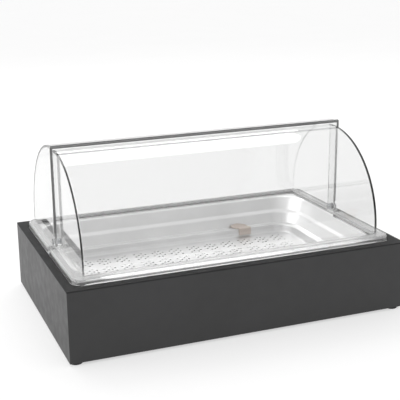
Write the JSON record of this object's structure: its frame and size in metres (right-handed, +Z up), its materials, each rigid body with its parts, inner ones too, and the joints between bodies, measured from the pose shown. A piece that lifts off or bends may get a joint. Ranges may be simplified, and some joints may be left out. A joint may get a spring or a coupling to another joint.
{
  "type": "roll top chafer",
  "caption": "Buffet display unit: plain dark steel housing with a sunk stepped pan, perforated drain insert and a clear half-round roll-top cover that opens on side hinge pins.",
  "frame": {"origin": "centre of the footprint, on the surface the feet stand on", "axes": "+X along the long side, to the right seen from the front; +Y to the rear; +Z up"},
  "size_m": [0.558, 0.358, 0.2871],
  "materials": {
    "housing_paint": "matt anthracite powder coat, fine texture",
    "zinc_steel": "zinc plated",
    "foot_rubber": "matt moulded rubber",
    "tub_plastic": "moulded closed-cell foam skin",
    "pack_plastic": "blow-moulded, semi-gloss",
    "pack_cap_plastic": "moulded, fine ribs",
    "stainless_pan": "satin deep-drawn stainless steel",
    "stainless_insert": "satin stainless steel with punched holes",
    "clip_plastic": "moulded beige plastic, semi-gloss",
    "clear_cover": "clear polished polycarbonate",
    "clear_hinge": "clear moulded plastic"
  },
  "bodies": {
    "housing": {"top_frame": "housing_paint", "front_panel": "housing_paint", "rear_panel": "housing_paint", "left_panel": "housing_paint", "right_panel": "housing_paint", "base_plate": "housing_paint", "corner_post_front_left": "zinc_steel", "corner_post_front_right": "zinc_steel", "corner_post_rear_left": "zinc_steel", "corner_post_rear_right": "zinc_steel", "frame_nuts": "zinc_steel", "foot_screws": "zinc_steel", "foot_front_left": "foot_rubber", "foot_front_right": "foot_rubber", "foot_rear_left": "foot_rubber", "foot_rear_right": "foot_rubber", "insulated_tub": "tub_plastic"},
    "pack_left": {"cooling_pack_left": "pack_plastic", "pack_cap_left": "pack_cap_plastic"},
    "pack_right": {"cooling_pack_right": "pack_plastic", "pack_cap_right": "pack_cap_plastic"},
    "pan": {"gn_pan": "stainless_pan"},
    "insert": {"perforated_insert": "stainless_insert", "insert_clip": "clip_plastic"},
    "cover": {"rear_shell": "clear_cover", "hinge_pin_left": "clear_hinge", "hinge_pin_right": "clear_hinge", "hinge_spacer_left": "clear_hinge", "hinge_spacer_right": "clear_hinge", "pin_cap_left": "clear_hinge", "pin_cap_right": "clear_hinge"},
    "front_half": {"front_shell": "clear_cover"}
  },
  "joints": [
    {"name": "pan_lift", "type": "slide", "parent": "housing", "child": "pan", "axis": [0, 0, 1], "range_m": [0, 0.24]},
    {"name": "pack_left_lift", "type": "slide", "parent": "housing", "child": "pack_left", "axis": [0, 0, 1], "range_m": [0, 0.12]},
    {"name": "pack_right_lift", "type": "slide", "parent": "housing", "child": "pack_right", "axis": [0, 0, 1], "range_m": [0, 0.12]},
    {"name": "insert_lift", "type": "slide", "parent": "pan", "child": "insert", "axis": [0, 0, 1], "range_m": [0, 0.09]},
    {"name": "cover_lift", "type": "slide", "parent": "pan", "child": "cover", "axis": [0, 0, 1], "range_m": [0, 0.15]},
    {"name": "front_open", "type": "hinge", "parent": "cover", "child": "front_half", "pos_m": [0, 0, 0.131], "axis": [-1, 0, 0], "range_deg": [0, 90]}
  ],
  "couplings": [
    {"joint": "pack_left_lift", "follows": "pan_lift", "ratio": 0.5},
    {"joint": "pack_right_lift", "follows": "pan_lift", "ratio": 0.5}
  ]
}
